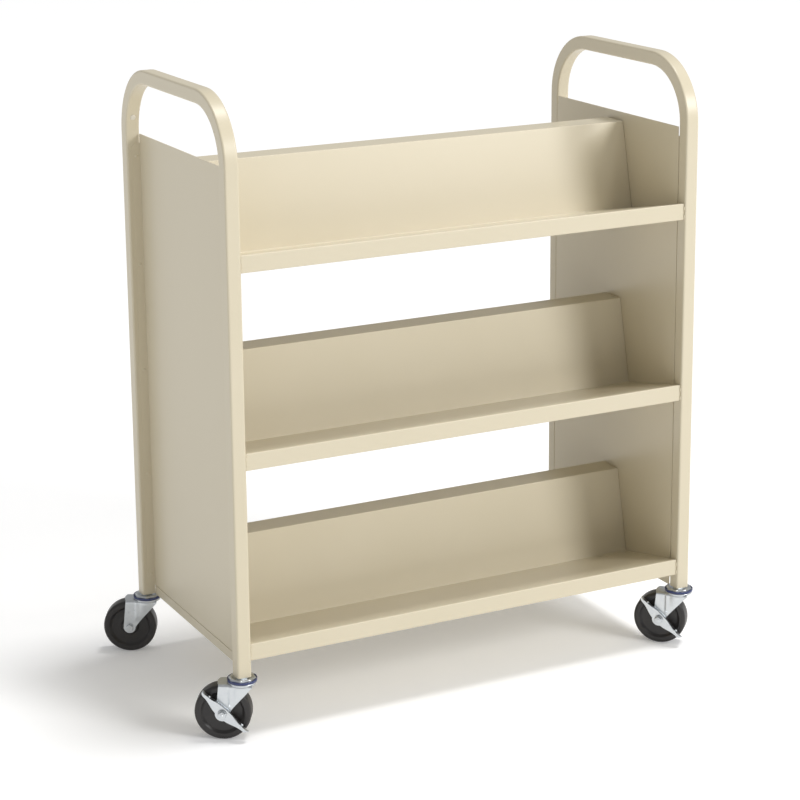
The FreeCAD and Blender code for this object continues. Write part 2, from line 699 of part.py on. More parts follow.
def fork(caster):
    """Pressed fork: round dish under the ring, a step lower over the wheel, and two tapering legs."""
    body = new_body(f"{caster}_fork")
    trail, half = size("trail"), size("leg_half_width")
    dish_low = f"({PLATE_TOP} - Sizes.dish_depth)"
    legs = new_sketch(body, "XZ_Plane")
    draw_outline(legs, [
        (f"{trail} + {half}", AXLE_Z), (size("hump_end"), HUMP_TOP), ("-Sizes.gusset_front", HUMP_TOP),
        ("-Sizes.gusset_front", f"{HUMP_TOP} - Sizes.fork_sheet"),
        ("-Sizes.gusset_front + Sizes.gusset_waist", f"{AXLE_Z} + Sizes.gusset_waist_rise"),
        (f"{trail} - {half}", AXLE_Z),
    ])
    pad(body, legs, f"2 * {FORK_SIDE}", both_ways=True)
    ends = new_sketch(body, "XZ_Plane")
    draw_circle(ends, trail, AXLE_Z, half)
    pad(body, ends, f"2 * {FORK_SIDE}", both_ways=True)

    def is_hump_rim(edge):
        return runs_along(edge, 0) and close_to(edge.Vertexes[0].Z, number(HUMP_TOP))

    dress_edges(body, "Fillet", is_hump_rim, Radius=size("hump_round"))
    dish = new_sketch(body, "XZ_Plane")
    draw_outline(dish, [
        ("0", dish_low), (FORK_SIDE, dish_low), ("Sizes.dish_diameter / 2", PLATE_BOTTOM),
        ("Sizes.dish_diameter / 2", PLATE_TOP), ("0", PLATE_TOP),
    ])
    turned(body, dish, "Z_Axis")
    inside = new_sketch(body, "XZ_Plane")
    past = "(Sizes.wheel_diameter)"
    step = "(Sizes.dish_diameter / 2 - Sizes.fork_plate)"
    hump_low = f"({HUMP_TOP} - Sizes.fork_sheet)"
    draw_outline(inside, [
        (f"-{past}", "0"), (past, "0"), (past, hump_low), (step, hump_low),
        (f"{step} - Sizes.hump_drop", PLATE_BOTTOM), (f"-{past}", PLATE_BOTTOM),
    ])
    pocket(body, inside, size("fork_inside"), both_ways=True)
    axle_hole = new_sketch(body, "XZ_Plane")
    draw_circle(axle_hole, trail, AXLE_Z, "Sizes.axle_diameter / 2")
    pocket(body, axle_hole, f"3 * {FORK_SIDE}", both_ways=True)
    neck_hole = new_sketch(body, "XY_Plane", PLATE_BOTTOM)
    draw_circle(neck_hole, "0", "0", "(Sizes.neck_diameter / 2 + Sizes.running_fit)")
    pocket(body, neck_hole, "2 * Sizes.fork_plate", both_ways=True)
    finish(body, caster_place(caster))


def axle_place(caster):
    """Middle of the axle, with the axle along local Y."""
    return caster_place(caster).multiply(placed(size("trail"), 0, AXLE_Z))


def brake_stack(caster):
    """Thickness of what sits between the fork's leg and the nut."""
    if caster in BRAKED:
        return "(Sizes.swivel_gap * 2 + Sizes.lever_sheet + Sizes.washer_height)"
    return "0"


def axle_bolt(caster):
    """Hexagon bolt through both legs, its head on the side away from the brake."""
    body = new_body(f"{caster}_axle_bolt")
    head = new_sketch(body, "XZ_Plane", FORK_SIDE)
    draw_polygon(head, 6, "(Sizes.hex_flats / 2 / cos(30))")
    pad(body, head, size("hex_height"))
    shank = new_sketch(body, "XZ_Plane", FORK_SIDE)
    draw_circle(shank, "0", "0", "Sizes.axle_diameter / 2")
    length = f"(2 * {FORK_SIDE} + {brake_stack(caster)} + Sizes.hex_height + 1.5)"
    pad(body, shank, length).Reversed = True
    finish(body, axle_place(caster))


def axle_nut(caster):
    """Hexagon nut on the axle bolt."""
    body = new_body(f"{caster}_axle_nut")
    ring = new_sketch(body, "XZ_Plane", f"-({FORK_SIDE} + {brake_stack(caster)})")
    draw_polygon(ring, 6, "(Sizes.hex_flats / 2 / cos(30))")
    draw_circle(ring, "0", "0", "Sizes.axle_diameter / 2")
    pad(body, ring, size("hex_height")).Reversed = True
    finish(body, axle_place(caster))


def axle_sleeve(caster):
    """Steel sleeve clamped between the legs, on which the wheel's bush turns."""
    body = new_body(f"{caster}_axle_sleeve")
    ring = new_sketch(body, "XZ_Plane")
    draw_circle(ring, "0", "0", "Sizes.sleeve_diameter / 2")
    draw_circle(ring, "0", "0", "Sizes.axle_diameter / 2")
    pad(body, ring, size("fork_inside"), both_ways=True)
    finish(body, axle_place(caster))


def wheel_bush(caster):
    """Plastic bush pressed into the wheel's hub."""
    body = new_body(f"{caster}_wheel_bush")
    ring = new_sketch(body, "XZ_Plane")
    draw_circle(ring, "0", "0", "Sizes.bush_diameter / 2")
    draw_circle(ring, "0", "0", "(Sizes.sleeve_diameter / 2 + Sizes.running_fit)")
    pad(body, ring, "(Sizes.fork_inside - 2 * Sizes.bush_gap)", both_ways=True)
    finish(body, axle_place(caster))


def wheel(caster):
    """Hard rubber wheel: broad rounded tyre band, sunk web with sloping edges, and a hub."""
    body = new_body(f"{caster}_wheel")
    half = new_sketch(body, "XY_Plane")
    radius, side = "(Sizes.wheel_diameter / 2)", "(Sizes.wheel_width / 2)"
    web, hub, recess = "(Sizes.web_width / 2)", "Sizes.hub_diameter / 2", f"{radius} - Sizes.tyre_band"
    front = [
        ("Sizes.bush_diameter / 2", side), (hub, side), (f"{hub} + Sizes.hub_slope", web),
        (f"{recess} - Sizes.web_slope", web), (recess, side), (radius, side),
    ]
    draw_outline(half, front + [(x, f"-({y})") for x, y in reversed(front)])
    turned(body, half, "Y_Axis")

    def is_tread_edge(edge):
        return (edge.Curve.TypeId == "Part::GeomCircle"
                and close_to(edge.Curve.Radius, number(radius)))

    dress_edges(body, "Fillet", is_tread_edge, Radius=size("tyre_round"))
    finish(body, axle_place(caster))


def brake_lever(caster):
    """Two-armed side brake lever on the axle bolt, its upper edge turned outwards as a tread."""
    body = new_body(f"{caster}_brake_lever")
    far, rise = size("lever_reach"), size("lever_rise")
    base = f"-({FORK_SIDE} + Sizes.swivel_gap)"
    arms = new_sketch(body, "XZ_Plane", base)
    draw_outline(arms, [
        (f"-{far}", "0"), ("0", "-Sizes.lever_root"), (far, "0"), (far, rise), (f"-{far}", rise),
    ])
    pad(body, arms, size("lever_sheet")).Reversed = True
    hub = new_sketch(body, "XZ_Plane", base)
    draw_circle(hub, "0", "0", "Sizes.lever_hub / 2")
    pad(body, hub, size("lever_sheet")).Reversed = True
    tread = new_sketch(body, "XZ_Plane", base)
    draw_outline(tread, [
        (f"-{far}", f"{rise} - Sizes.lever_sheet"), (far, f"{rise} - Sizes.lever_sheet"), (far, rise),
        (f"-{far}", rise),
    ])
    pad(body, tread, size("lever_tread")).Reversed = True
    edge_y = number(f"Sizes.lever_tread - {base}")

    def is_tread_corner(edge):
        return runs_along(edge, 2) and close_to(edge.Vertexes[0].Y, edge_y)

    dress_edges(body, "Fillet", is_tread_corner, Radius=size("lever_tread_round"))
    hole = new_sketch(body, "XZ_Plane")
    draw_circle(hole, "0", "0", "(Sizes.axle_diameter / 2 + Sizes.running_fit)")
    pocket(body, hole, f"4 * {FORK_SIDE}", both_ways=True)
    tilt = placed(0, 0, 0, (0, 1, 0), f"-{size('lever_angle')}")
    finish(body, axle_place(caster).multiply(tilt))


def brake_washer(caster):
    """Washer between the brake lever and the nut."""
    body = new_body(f"{caster}_brake_washer")
    low = f"-({FORK_SIDE} + 2 * Sizes.swivel_gap + Sizes.lever_sheet)"
    ring = new_sketch(body, "XZ_Plane", low)
    draw_circle(ring, "0", "0", "Sizes.washer_diameter / 2")
    draw_circle(ring, "0", "0", "Sizes.axle_diameter / 2")
    pad(body, ring, size("washer_height")).Reversed = True
    finish(body, axle_place(caster))


# ---------------------------------------------------------------- the cart

for end, side in (("left", -1), ("right", 1)):
    end_tube(f"{end}_end_tube", side)
    end_panel(f"{end}_end_panel", side)
    panel_rivets(f"{end}_panel_rivets", side)
hole_plugs("drain_hole_plugs")

for level, name in enumerate(("top", "middle", "bottom")):
    book_shelf(f"{name}_shelf", level)
shelf_welds("shelf_tack_welds")

for caster in CASTERS:
    for make in (stem_socket, stem, race_cap, seal_ring, swivel_balls, fork, axle_bolt, axle_nut,
                 axle_sleeve, wheel, wheel_bush):
        make(caster)
for caster in BRAKED:
    brake_lever(caster)
    brake_washer(caster)

doc.recompute()

faults = [
    f"{thing.Label}: {state}" for thing in doc.Objects for state in thing.State
    if "Invalid" in state or "Error" in state
]
faults += [
    f"{node.Label}: no valid shape" for node in nodes if node.Shape.isNull() or not node.Shape.isValid()
]
if faults:
    raise RuntimeError("; ".join(faults))
for node in nodes:
    node.Shape.exportStep(os.path.join("parts", node.Label + ".step"))
print(len(nodes), "sub-parts written")
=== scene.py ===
import json
import math

import bmesh
import bpy
from mathutils import Euler, Matrix, Vector


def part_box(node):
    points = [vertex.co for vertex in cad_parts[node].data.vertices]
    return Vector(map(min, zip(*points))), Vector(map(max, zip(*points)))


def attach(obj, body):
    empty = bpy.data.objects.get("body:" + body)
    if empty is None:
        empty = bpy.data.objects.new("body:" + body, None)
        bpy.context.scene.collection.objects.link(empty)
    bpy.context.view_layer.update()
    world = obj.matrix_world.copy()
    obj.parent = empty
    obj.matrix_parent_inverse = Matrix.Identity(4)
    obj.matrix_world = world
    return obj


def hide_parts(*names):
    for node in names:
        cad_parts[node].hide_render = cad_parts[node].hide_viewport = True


# Double-sided book cart: powder-coated sheet-steel shelves between two tubular end frames, on four
# zinc-plated swivel casters. The frame, panels and shelves are the CAD nodes with real finishes.
# The casters' pressed, moulded and turned pieces are modelled here in their places.

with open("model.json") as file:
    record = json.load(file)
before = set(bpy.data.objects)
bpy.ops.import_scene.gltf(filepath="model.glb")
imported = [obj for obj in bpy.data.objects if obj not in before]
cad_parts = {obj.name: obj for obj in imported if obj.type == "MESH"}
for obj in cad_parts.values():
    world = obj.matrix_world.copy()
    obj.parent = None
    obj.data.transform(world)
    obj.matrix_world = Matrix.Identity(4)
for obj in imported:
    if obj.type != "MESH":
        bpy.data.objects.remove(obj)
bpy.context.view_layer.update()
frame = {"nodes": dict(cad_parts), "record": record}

MM = 0.001


LEFT_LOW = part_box("left_end_tube")[0]
RIGHT_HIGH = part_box("right_end_tube")[1]
CART_MIDDLE = (LEFT_LOW + RIGHT_HIGH) / 2
CART_MIDDLE.z = 0


# ------------------------------------------------------------------------------- camera and light

CAMERA_FROM_MIDDLE = Vector((-1.8649, -3.5981, 1.6699))
CAMERA_TURN = 27.11
CAMERA_DIP = 13.98
CAMERA_ROLL = -0.49
CAMERA_LENS = 103.7
CAMERA_SHIFT = -0.12


def set_camera():
    camera = bpy.data.objects.new("camera", bpy.data.cameras.new("camera"))
    bpy.context.scene.collection.objects.link(camera)
    camera.location = CART_MIDDLE + CAMERA_FROM_MIDDLE
    aim = Euler((math.radians(90 - CAMERA_DIP), 0, -math.radians(CAMERA_TURN))).to_matrix()
    roll = Matrix.Rotation(math.radians(CAMERA_ROLL), 3, "Z")
    camera.rotation_euler = (aim @ roll).to_euler()
    camera.data.sensor_width = 36
    camera.data.lens = CAMERA_LENS
    camera.data.shift_y = CAMERA_SHIFT
    bpy.context.scene.camera = camera


def add_area_light(name, place, target, width, power, colour=(1, 1, 1)):
    light = bpy.data.lights.new(name, "AREA")
    light.shape = "DISK"
    light.size = width
    light.energy = power
    light.color = colour
    lamp = bpy.data.objects.new(name, light)
    lamp.location = CART_MIDDLE + Vector(place)
    away = lamp.location - (CART_MIDDLE + Vector(target))
    lamp.rotation_euler = away.to_track_quat("Z", "Y").to_euler()
    bpy.context.scene.collection.objects.link(lamp)


def set_light():
    world = bpy.data.worlds.new("studio")
    world.use_nodes = True
    backdrop = world.node_tree.nodes["Background"]
    backdrop.inputs["Color"].default_value = (1, 1, 1, 1)
    backdrop.inputs["Strength"].default_value = 0.42
    bpy.context.scene.world = world
    bpy.context.scene.view_settings.view_transform = "Standard"
    add_area_light("key_light", (4.0, -6.2, 4.0), (0, 0, 0.5), 2.8, 305)
    # broad light from high on the front right: it whitens the floor and lays the shadow under the cart
    overhead = bpy.data.objects.new("overhead_light", bpy.data.lights.new("overhead_light", "SUN"))
    overhead.data.energy = 1.65
    overhead.data.angle = math.radians(16)
    overhead.rotation_euler = Vector((0.25, -0.05, 1)).to_track_quat("Z", "Y").to_euler()
    bpy.context.scene.collection.objects.link(overhead)


def set_floor():
    bpy.ops.mesh.primitive_plane_add(size=60, location=CART_MIDDLE)
    floor = bpy.context.object
    floor.name = "studio_floor"
    paint = bpy.data.materials.new("studio_floor_paint")
    paint.use_nodes = True
    shader = paint.node_tree.nodes["Principled BSDF"]
    shader.inputs["Base Color"].default_value = (0.88, 0.88, 0.88, 1)
    shader.inputs["Roughness"].default_value = 0.9
    # lit a little from below, like a light table, so that it stays white out to its far edge
    shader.inputs["Emission Color"].default_value = (1, 1, 1, 1)
    shader.inputs["Emission Strength"].default_value = 0.18
    floor.data.materials.append(paint)


# ------------------------------------------------------------------------------- finishes

def linear(hex_colour):
    """sRGB hex to linear RGBA."""
    def channel(value):
        return value / 12.92 if value <= 0.04045 else ((value + 0.055) / 1.055) ** 2.4
    red, green, blue = (int(hex_colour[i:i + 2], 16) / 255 for i in (1, 3, 5))
    return (channel(red), channel(green), channel(blue), 1)


def new_finish(name, colour, **shader_values):
    """Principled material with its colour and constants on the shader's own sockets."""
    finish = bpy.data.materials.new(name)
    finish.use_nodes = True
    shader = finish.node_tree.nodes["Principled BSDF"]
    shader.inputs["Base Color"].default_value = linear(colour)
    for socket, value in shader_values.items():
        shader.inputs[socket.replace("_", " ")].default_value = value
    return finish


def add_node(finish, kind, links=(), **settings):
    """One node: settings go to its sockets if it has such a socket, else to its properties."""
    node = finish.node_tree.nodes.new(kind)
    for name, value in settings.items():
        socket = node.inputs.get(name.replace("_", " "))
        if socket is not None:
            socket.default_value = value
        else:
            setattr(node, name, value)
    for output, socket in links:
        finish.node_tree.links.new(output, node.inputs[socket])
    return node


def to_shader(finish, output, socket):
    shader = finish.node_tree.nodes["Principled BSDF"]
    finish.node_tree.links.new(output, shader.inputs[socket])


def vary_roughness(finish, pattern, low, high):
    """Let the shader's roughness run from low to high with the pattern."""
    spread = add_node(finish, "ShaderNodeMapRange", [(pattern.outputs["Fac"], "Value")],
                      To_Min=low, To_Max=high)
    to_shader(finish, spread.outputs["Result"], "Roughness")


def vary_colour(finish, pattern, dark, light):
    """Let the shader's colour run from dark to light with the pattern."""
    tint = add_node(finish, "ShaderNodeMix", [(pattern.outputs["Fac"], "Factor")], data_type="RGBA")
    tint.inputs[6].default_value = linear(dark)
    tint.inputs[7].default_value = linear(light)
    to_shader(finish, tint.outputs[2], "Base Color")


def roughen(finish, grain, strength):
    """Raise a fine grain, 0.1 mm deep, on the surface."""
    bump = add_node(finish, "ShaderNodeBump", [(grain.outputs["Fac"], "Height")],
                    Strength=strength, Distance=0.1 * MM)
    to_shader(finish, bump.outputs["Normal"], "Normal")


def powder_coat():
    """Semi-gloss polyester powder coat in sand: sprayed and baked, so it has a fine orange peel."""
    finish = new_finish("sand_powder_coat", "#D2C8AF", Roughness=0.32, IOR=1.5)
    place = add_node(finish, "ShaderNodeTexCoord").outputs["Object"]
    # orange peel: dimples about 2.5 mm apart
    peel = add_node(finish, "ShaderNodeTexNoise", [(place, "Vector")], Scale=1 / (2.5 * MM), Detail=2)
    roughen(finish, peel, 0.05)
    # the coat is a touch thinner and duller in patches about 150 mm across
    patch = add_node(finish, "ShaderNodeTexNoise", [(place, "Vector")], Scale=1 / (150 * MM), Detail=3)
    vary_roughness(finish, patch, 0.27, 0.37)
    vary_colour(finish, patch, "#D0C6AC", "#D4CAB2")
    return finish


def zinc_plate():
    """Bright blue-passivated zinc on pressed steel: even metal with a soft cloudy sheen."""
    finish = new_finish("bright_zinc_plate", "#D3D7DA", Metallic=1.0, Roughness=0.3)
    place = add_node(finish, "ShaderNodeTexCoord").outputs["Object"]
    cloud = add_node(finish, "ShaderNodeTexNoise", [(place, "Vector")], Scale=1 / (6 * MM), Detail=4)
    vary_roughness(finish, cloud, 0.22, 0.4)
    vary_colour(finish, cloud, "#C0C5CA", "#D5D8D9")
    return finish


def hard_rubber():
    """Black hard rubber, moulded: near-black with a dusty satin bloom and a fine grain."""
    finish = new_finish("black_hard_rubber", "#2C2A29", Roughness=0.4, IOR=1.52)
    place = add_node(finish, "ShaderNodeTexCoord").outputs["Object"]
    bloom = add_node(finish, "ShaderNodeTexNoise", [(place, "Vector")], Scale=1 / (12 * MM), Detail=4)
    vary_colour(finish, bloom, "#1B1918", "#2A2625")
    grain = add_node(finish, "ShaderNodeTexNoise", [(place, "Vector")], Scale=1 / (0.8 * MM), Detail=2)
    roughen(finish, grain, 0.15)
    return finish


def blue_polypropylene():
    """Navy blue moulded polypropylene with a light waxy gloss."""
    finish = new_finish("blue_polypropylene", "#333C66", Roughness=0.35, IOR=1.49)
    place = add_node(finish, "ShaderNodeTexCoord").outputs["Object"]
    mottle = add_node(finish, "ShaderNodeTexNoise", [(place, "Vector")], Scale=1 / (4 * MM), Detail=3)
    vary_roughness(finish, mottle, 0.28, 0.14)
    return finish


def plain_nylon():
    """Natural nylon: off-white, matte and slightly waxy."""
    finish = new_finish("natural_nylon", "#D8D2C2", Roughness=0.55, IOR=1.53)
    place = add_node(finish, "ShaderNodeTexCoord").outputs["Object"]
    mottle = add_node(finish, "ShaderNodeTexNoise", [(place, "Vector")], Scale=1 / (3 * MM), Detail=2)
    vary_roughness(finish, mottle, 0.48, 0.5)
    return finish


FINISHES = {
    "sand_powder_coat": powder_coat(),
    "zinc_plated_steel": zinc_plate(),
    "bearing_steel": zinc_plate(),
    "blue_plastic": blue_polypropylene(),
    "black_rubber": hard_rubber(),
    "nylon": plain_nylon(),
    "plug_plastic": plain_nylon(),
}


def finish_cad_nodes():
    slots = {part["node"]: part["material_slot"] for part in frame["record"]["subparts"]}
    for name, node in frame["nodes"].items():
        for slot in node.material_slots:
            slot.material = FINISHES[slots[name]]


# ------------------------------------------------------------------------------- modelling by hand

def start_piece(name, add_primitive, **options):
    """A primitive on its own, selected and active, ready to be shaped."""
    bpy.ops.object.select_all(action="DESELECT")
    add_primitive(**options)
    piece = bpy.context.object
    piece.name = piece.data.name = name
    return piece


def select(piece):
    bpy.ops.object.select_all(action="DESELECT")
    piece.select_set(True)
    bpy.context.view_layer.objects.active = piece


def edit(piece, *steps):
    """Run mesh operators on the whole piece, or on the parts that a step picks, in edit mode."""
    select(piece)
    bpy.ops.object.mode_set(mode="EDIT")
    bpy.ops.mesh.select_all(action="SELECT")
    for step in steps:
        step()
    bpy.ops.object.mode_set(mode="OBJECT")


def pick(piece, kind, test):
    """In edit mode, select only the verts, edges or faces for which test(middle, element) is true."""
    bpy.ops.mesh.select_mode(type={"verts": "VERT", "edges": "EDGE", "faces": "FACE"}[kind])
    bpy.ops.mesh.select_all(action="DESELECT")
    mesh = bmesh.from_edit_mesh(piece.data)
    for element in getattr(mesh, kind):
        if kind == "verts":
            middle = element.co
        elif kind == "edges":
            middle = (element.verts[0].co + element.verts[1].co) / 2
        else:
            middle = element.calc_center_median()
        if test(middle, element):
            element.select = True
    mesh.select_flush_mode()
    bmesh.update_edit_mesh(piece.data)


def reshape(piece, move):
    """Push each vertex to where move(place) puts it."""
    for vertex in piece.data.vertices:
        vertex.co = move(vertex.co.copy())


def heal(piece):
    """Merge doubles and turn every face outwards."""
    edit(piece,
         lambda: bpy.ops.mesh.remove_doubles(threshold=0.02 * MM),
         lambda: bpy.ops.mesh.dissolve_degenerate(threshold=0.01 * MM),
         lambda: bpy.ops.mesh.normals_make_consistent(inside=False))


def add_modifier(piece, kind, **settings):
    select(piece)
    modifier = piece.modifiers.new(kind.lower(), kind)
    for name, value in settings.items():
        setattr(modifier, name, value)
    bpy.ops.object.modifier_apply(modifier=modifier.name)


def round_edges(piece, width, segments=3, sharper_than=35):
    add_modifier(piece, "BEVEL", width=width * MM, segments=segments, limit_method="ANGLE",
                 angle_limit=math.radians(sharper_than), harden_normals=False)


def turn_on_lathe(name, outline, steps=64):
    """Spin a closed outline of (radius, height) corners in millimetres once round the Z axis."""
    piece = start_piece(name, bpy.ops.mesh.primitive_plane_add, size=MM)
    first = outline[0]

    def draw():
        pick(piece, "verts", lambda middle, vertex: vertex.index != 0)
        bpy.ops.mesh.delete(type="VERT")
        bpy.ops.mesh.select_mode(type="VERT")
        bpy.ops.mesh.select_all(action="SELECT")
        corner = bmesh.from_edit_mesh(piece.data).verts[:][0].co.copy()
        start = Vector((first[0] * MM, 0, first[1] * MM))
        bpy.ops.transform.translate(value=start - corner)
        here = first
        for there in [*outline[1:], first]:
            step = ((there[0] - here[0]) * MM, 0, (there[1] - here[1]) * MM)
            bpy.ops.mesh.extrude_region_move(TRANSFORM_OT_translate={"value": step})
            here = there
        bpy.ops.mesh.select_all(action="SELECT")
        bpy.ops.mesh.remove_doubles(threshold=0.01 * MM)
        bpy.ops.mesh.select_all(action="SELECT")
        bpy.ops.mesh.spin(steps=steps, angle=math.tau, center=(0, 0, 0), axis=(0, 0, 1))

    edit(piece, draw)
    heal(piece)
    return piece


def press_from_sheet(name, columns, rows, form, thickness):
    """A flat grid pressed to the place form(across, along) gives, in millimetres, then thickened
    inwards. Across and along run from 0 to 1."""
    piece = start_piece(name, bpy.ops.mesh.primitive_grid_add, x_subdivisions=columns, y_subdivisions=rows,
                        size=1)
    reshape(piece, lambda place: Vector(form(place.x + 0.5, place.y + 0.5)) * MM)
    heal(piece)
    add_modifier(piece, "SOLIDIFY", thickness=thickness * MM, offset=-1, use_even_offset=True)
    return piece


def join(pieces):
    select(pieces[0])
    for other in pieces[1:]:
        other.select_set(True)
    bpy.ops.object.join()
    return pieces[0]


def lay_along_y(piece):
    """Turn a lathe piece so that its axis lies along Y, its top towards +Y."""
    select(piece)
    piece.rotation_euler.x = -math.pi / 2
    bpy.ops.object.transform_apply(location=True, rotation=True, scale=True)


def shift(piece, x=0, y=0, z=0):
    select(piece)
    piece.location += Vector((x, y, z)) * MM
    bpy.ops.object.transform_apply(location=True, rotation=True, scale=True)


def smooth_step(value):
    value = min(max(value, 0), 1)
    return value * value * (3 - 2 * value)


# ------------------------------------------------------------------------------- caster sizes
# All in millimetres, in the caster's own frame: the stem axis at the origin on the floor, +X the
# way the wheel trails and +Y the side with the brake.

def millimetres(length):
    return round(length / MM, 3)


RING_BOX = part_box("front_left_seal_ring")
CAP_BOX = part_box("front_left_race_cap")
FORK_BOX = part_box("front_left_fork")
JOINTS = {joint["name"]: joint for joint in frame["record"]["behaviour"]["joints"]}
CASTERS = ("front_left", "back_left", "front_right", "back_right")
BRAKED = ("front_left", "front_right")

AXLE_HEIGHT = millimetres(Vector(JOINTS["front_left_roll"]["pos_m"]).z)
WHEEL_RADIUS = AXLE_HEIGHT
TRAIL = millimetres((Vector(JOINTS["front_left_roll"]["pos_m"])
                     - Vector(JOINTS["front_left_swivel"]["pos_m"])).xy.length)
RING_LOW, RING_HIGH = millimetres(RING_BOX[0].z), millimetres(RING_BOX[1].z)
RING_RADIUS = millimetres(RING_BOX[1].x - RING_BOX[0].x) / 2
CAP_LOW, CAP_HIGH = millimetres(CAP_BOX[0].z), millimetres(CAP_BOX[1].z)
FORK_HIGH = millimetres(FORK_BOX[1].z)
WHEEL_WIDTH = 30
FORK_SIDE = 19
HUMP_TOP = 102
HUMP_END = 39
HUMP_BULGE = 3
HUMP_BEND = 4.5
LEG_HALF = 11
FORK_SHEET = 2.3
DISH_RADIUS = 25
GUSSET_TOP_X = -19.5
CREASE = 22.5
CREASE_WIDTH = 3
CREASE_RISE = 2.2
CREASE_LOW, CREASE_FULL = 60, 72
FLARE_LOW, FLARE_FULL = 62, 98
LEVER_ANGLE = math.radians(43.5)
LEVER_BASE = 19.3
LEVER_SHEET = 1.8


# ------------------------------------------------------------------------------- caster pieces

def make_wheel():
    """Moulded hard-rubber wheel: a broad tyre band with soft shoulders round a sunk web."""
    half = WHEEL_WIDTH / 2
    face = [(9.05, half), (14.2, half), (16.5, half - 4.4), (33.8, half - 4.2), (36.6, half - 1.8),
            (38.2, half), (WHEEL_RADIUS, half)]
    outline = face + [(radius, -height) for radius, height in reversed(face)]
    wheel = turn_on_lathe("wheel", outline, 96)

    def round_tread():
        pick(wheel, "edges", lambda middle, edge: abs(middle.xy.length - WHEEL_RADIUS * MM) < 0.1 * MM
             and abs(edge.verts[0].co.z - edge.verts[1].co.z) < 1e-6)
        bpy.ops.mesh.bevel(offset=5 * MM, segments=6)

    edit(wheel, round_tread)
    round_edges(wheel, 0.8, 3, 20)
    lay_along_y(wheel)
    shift(wheel, TRAIL, 0, AXLE_HEIGHT)
    return wheel


def side_of_fork(x, z):
    """How far out the leg's face lies: flat by the axle, creased and flared to the round dish."""
    crease = CREASE_RISE * smooth_step((CREASE - x) / CREASE_WIDTH)
    crease *= smooth_step((z - CREASE_LOW) / (CREASE_FULL - CREASE_LOW))
    flat = FORK_SIDE + crease
    dish = max(math.sqrt(max((DISH_RADIUS - 0.4) ** 2 - x * x, 0)), flat)
    return flat + (dish - flat) * smooth_step((z - FLARE_LOW) / (FLARE_FULL - FLARE_LOW))


def front_of_leg(z):
    if z < AXLE_HEIGHT:
        return TRAIL - math.sqrt(max(LEG_HALF ** 2 - (AXLE_HEIGHT - z) ** 2, 0))
    climb = (z - AXLE_HEIGHT) / (FLARE_FULL - AXLE_HEIGHT)
    start = TRAIL - LEG_HALF
    return start + (GUSSET_TOP_X - start) * min(climb, 1) ** 1.12


def back_of_leg(z):
    if z < AXLE_HEIGHT:
        return TRAIL + math.sqrt(max(LEG_HALF ** 2 - (AXLE_HEIGHT - z) ** 2, 0))
    climb = (z - AXLE_HEIGHT) / (FLARE_FULL - AXLE_HEIGHT)
    return TRAIL + LEG_HALF + (HUMP_END - TRAIL - LEG_HALF) * min(climb, 1)


def make_fork():
    """Pressed fork: one sheet from leg to leg over the wheel, with a round raceway dish on top."""
    bend_start = HUMP_TOP - HUMP_BEND
    legs, bend = 0.36, 0.42

    def form(across, along):
        way = abs(along - 0.5) * 2
        side = 1 if along > 0.5 else -1
        run = 1 - way
        if run < legs:
            share = run / legs
            if share < 0.3:
                z = AXLE_HEIGHT - LEG_HALF * math.cos(share / 0.3 * math.pi / 2)
            else:
                z = AXLE_HEIGHT + (bend_start - AXLE_HEIGHT) * (share - 0.3) / 0.7
            x = front_of_leg(z) + (back_of_leg(z) - front_of_leg(z)) * across
            return x, side * side_of_fork(x, z), z
        front, back = front_of_leg(bend_start), back_of_leg(bend_start)
        if run < bend:
            turn = (run - legs) / (bend - legs) * math.pi / 2
            x = front + (back - front) * across
            wide = side_of_fork(x, bend_start)
            return (x, side * (wide - HUMP_BEND + HUMP_BEND * math.cos(turn)),
                    bend_start + HUMP_BEND * math.sin(turn))
        inner = (1 - run) / (1 - bend)
        reach = front + (back - front) * across
        y = side * (side_of_fork(reach, bend_start) - HUMP_BEND) * inner
        bulge = HUMP_BULGE * (1 - inner ** 2) * smooth_step(across * 3 - 2)
        return reach + bulge, y, HUMP_TOP

    sheet = press_from_sheet("fork", 40, 150, form, FORK_SHEET)
    dish = turn_on_lathe("fork_dish", [
        (6.1, FORK_HIGH), (DISH_RADIUS - 0.8, FORK_HIGH), (DISH_RADIUS, FORK_HIGH - 0.9),
        (DISH_RADIUS, FORK_HIGH - 2.6), (DISH_RADIUS - 0.9, FORK_HIGH - 4.6),
        (DISH_RADIUS - 3, FORK_HIGH - 5), (DISH_RADIUS - 4, FORK_HIGH - 2.6), (6.1, FORK_HIGH - 2.4),
    ])
    round_edges(dish, 0.5, 2, 30)
    return join([sheet, dish])


def make_cap():
    """Pressed cap with eight scallops round its rim and a sunk floor under the tube's end."""
    corner, recess, floor = 24.5, 17.8, 14.2
    cap = turn_on_lathe("race_cap", [
        (6.1, CAP_LOW + 1.2), (floor, CAP_LOW + 1.2), (recess, CAP_HIGH - 0.2), (recess + 1, CAP_HIGH),
        (21.6, CAP_HIGH), (23.6, CAP_HIGH - 1.1), (corner, CAP_HIGH - 2.4), (corner, CAP_LOW),
        (6.1, CAP_LOW),
    ], 128)

    def scallop(place):
        radius = place.xy.length
        pull = 2.3 * MM * abs(math.sin(4 * math.atan2(place.y, place.x)))
        share = smooth_step((radius / MM - 20.5) / 3)
        scale = (radius - pull * share) / radius
        return Vector((place.x * scale, place.y * scale, place.z))

    reshape(cap, scallop)
    return cap


def make_seal_ring():
    """Moulded ring with a raised lip round the cap."""
    ring = turn_on_lathe("seal_ring", [
        (21.8, RING_LOW), (RING_RADIUS, RING_LOW), (RING_RADIUS, RING_HIGH),
        (RING_RADIUS - 1.2, RING_HIGH), (RING_RADIUS - 1.2, CAP_LOW), (21.8, CAP_LOW),
    ], 96)
    round_edges(ring, 0.4, 3, 30)
    return ring


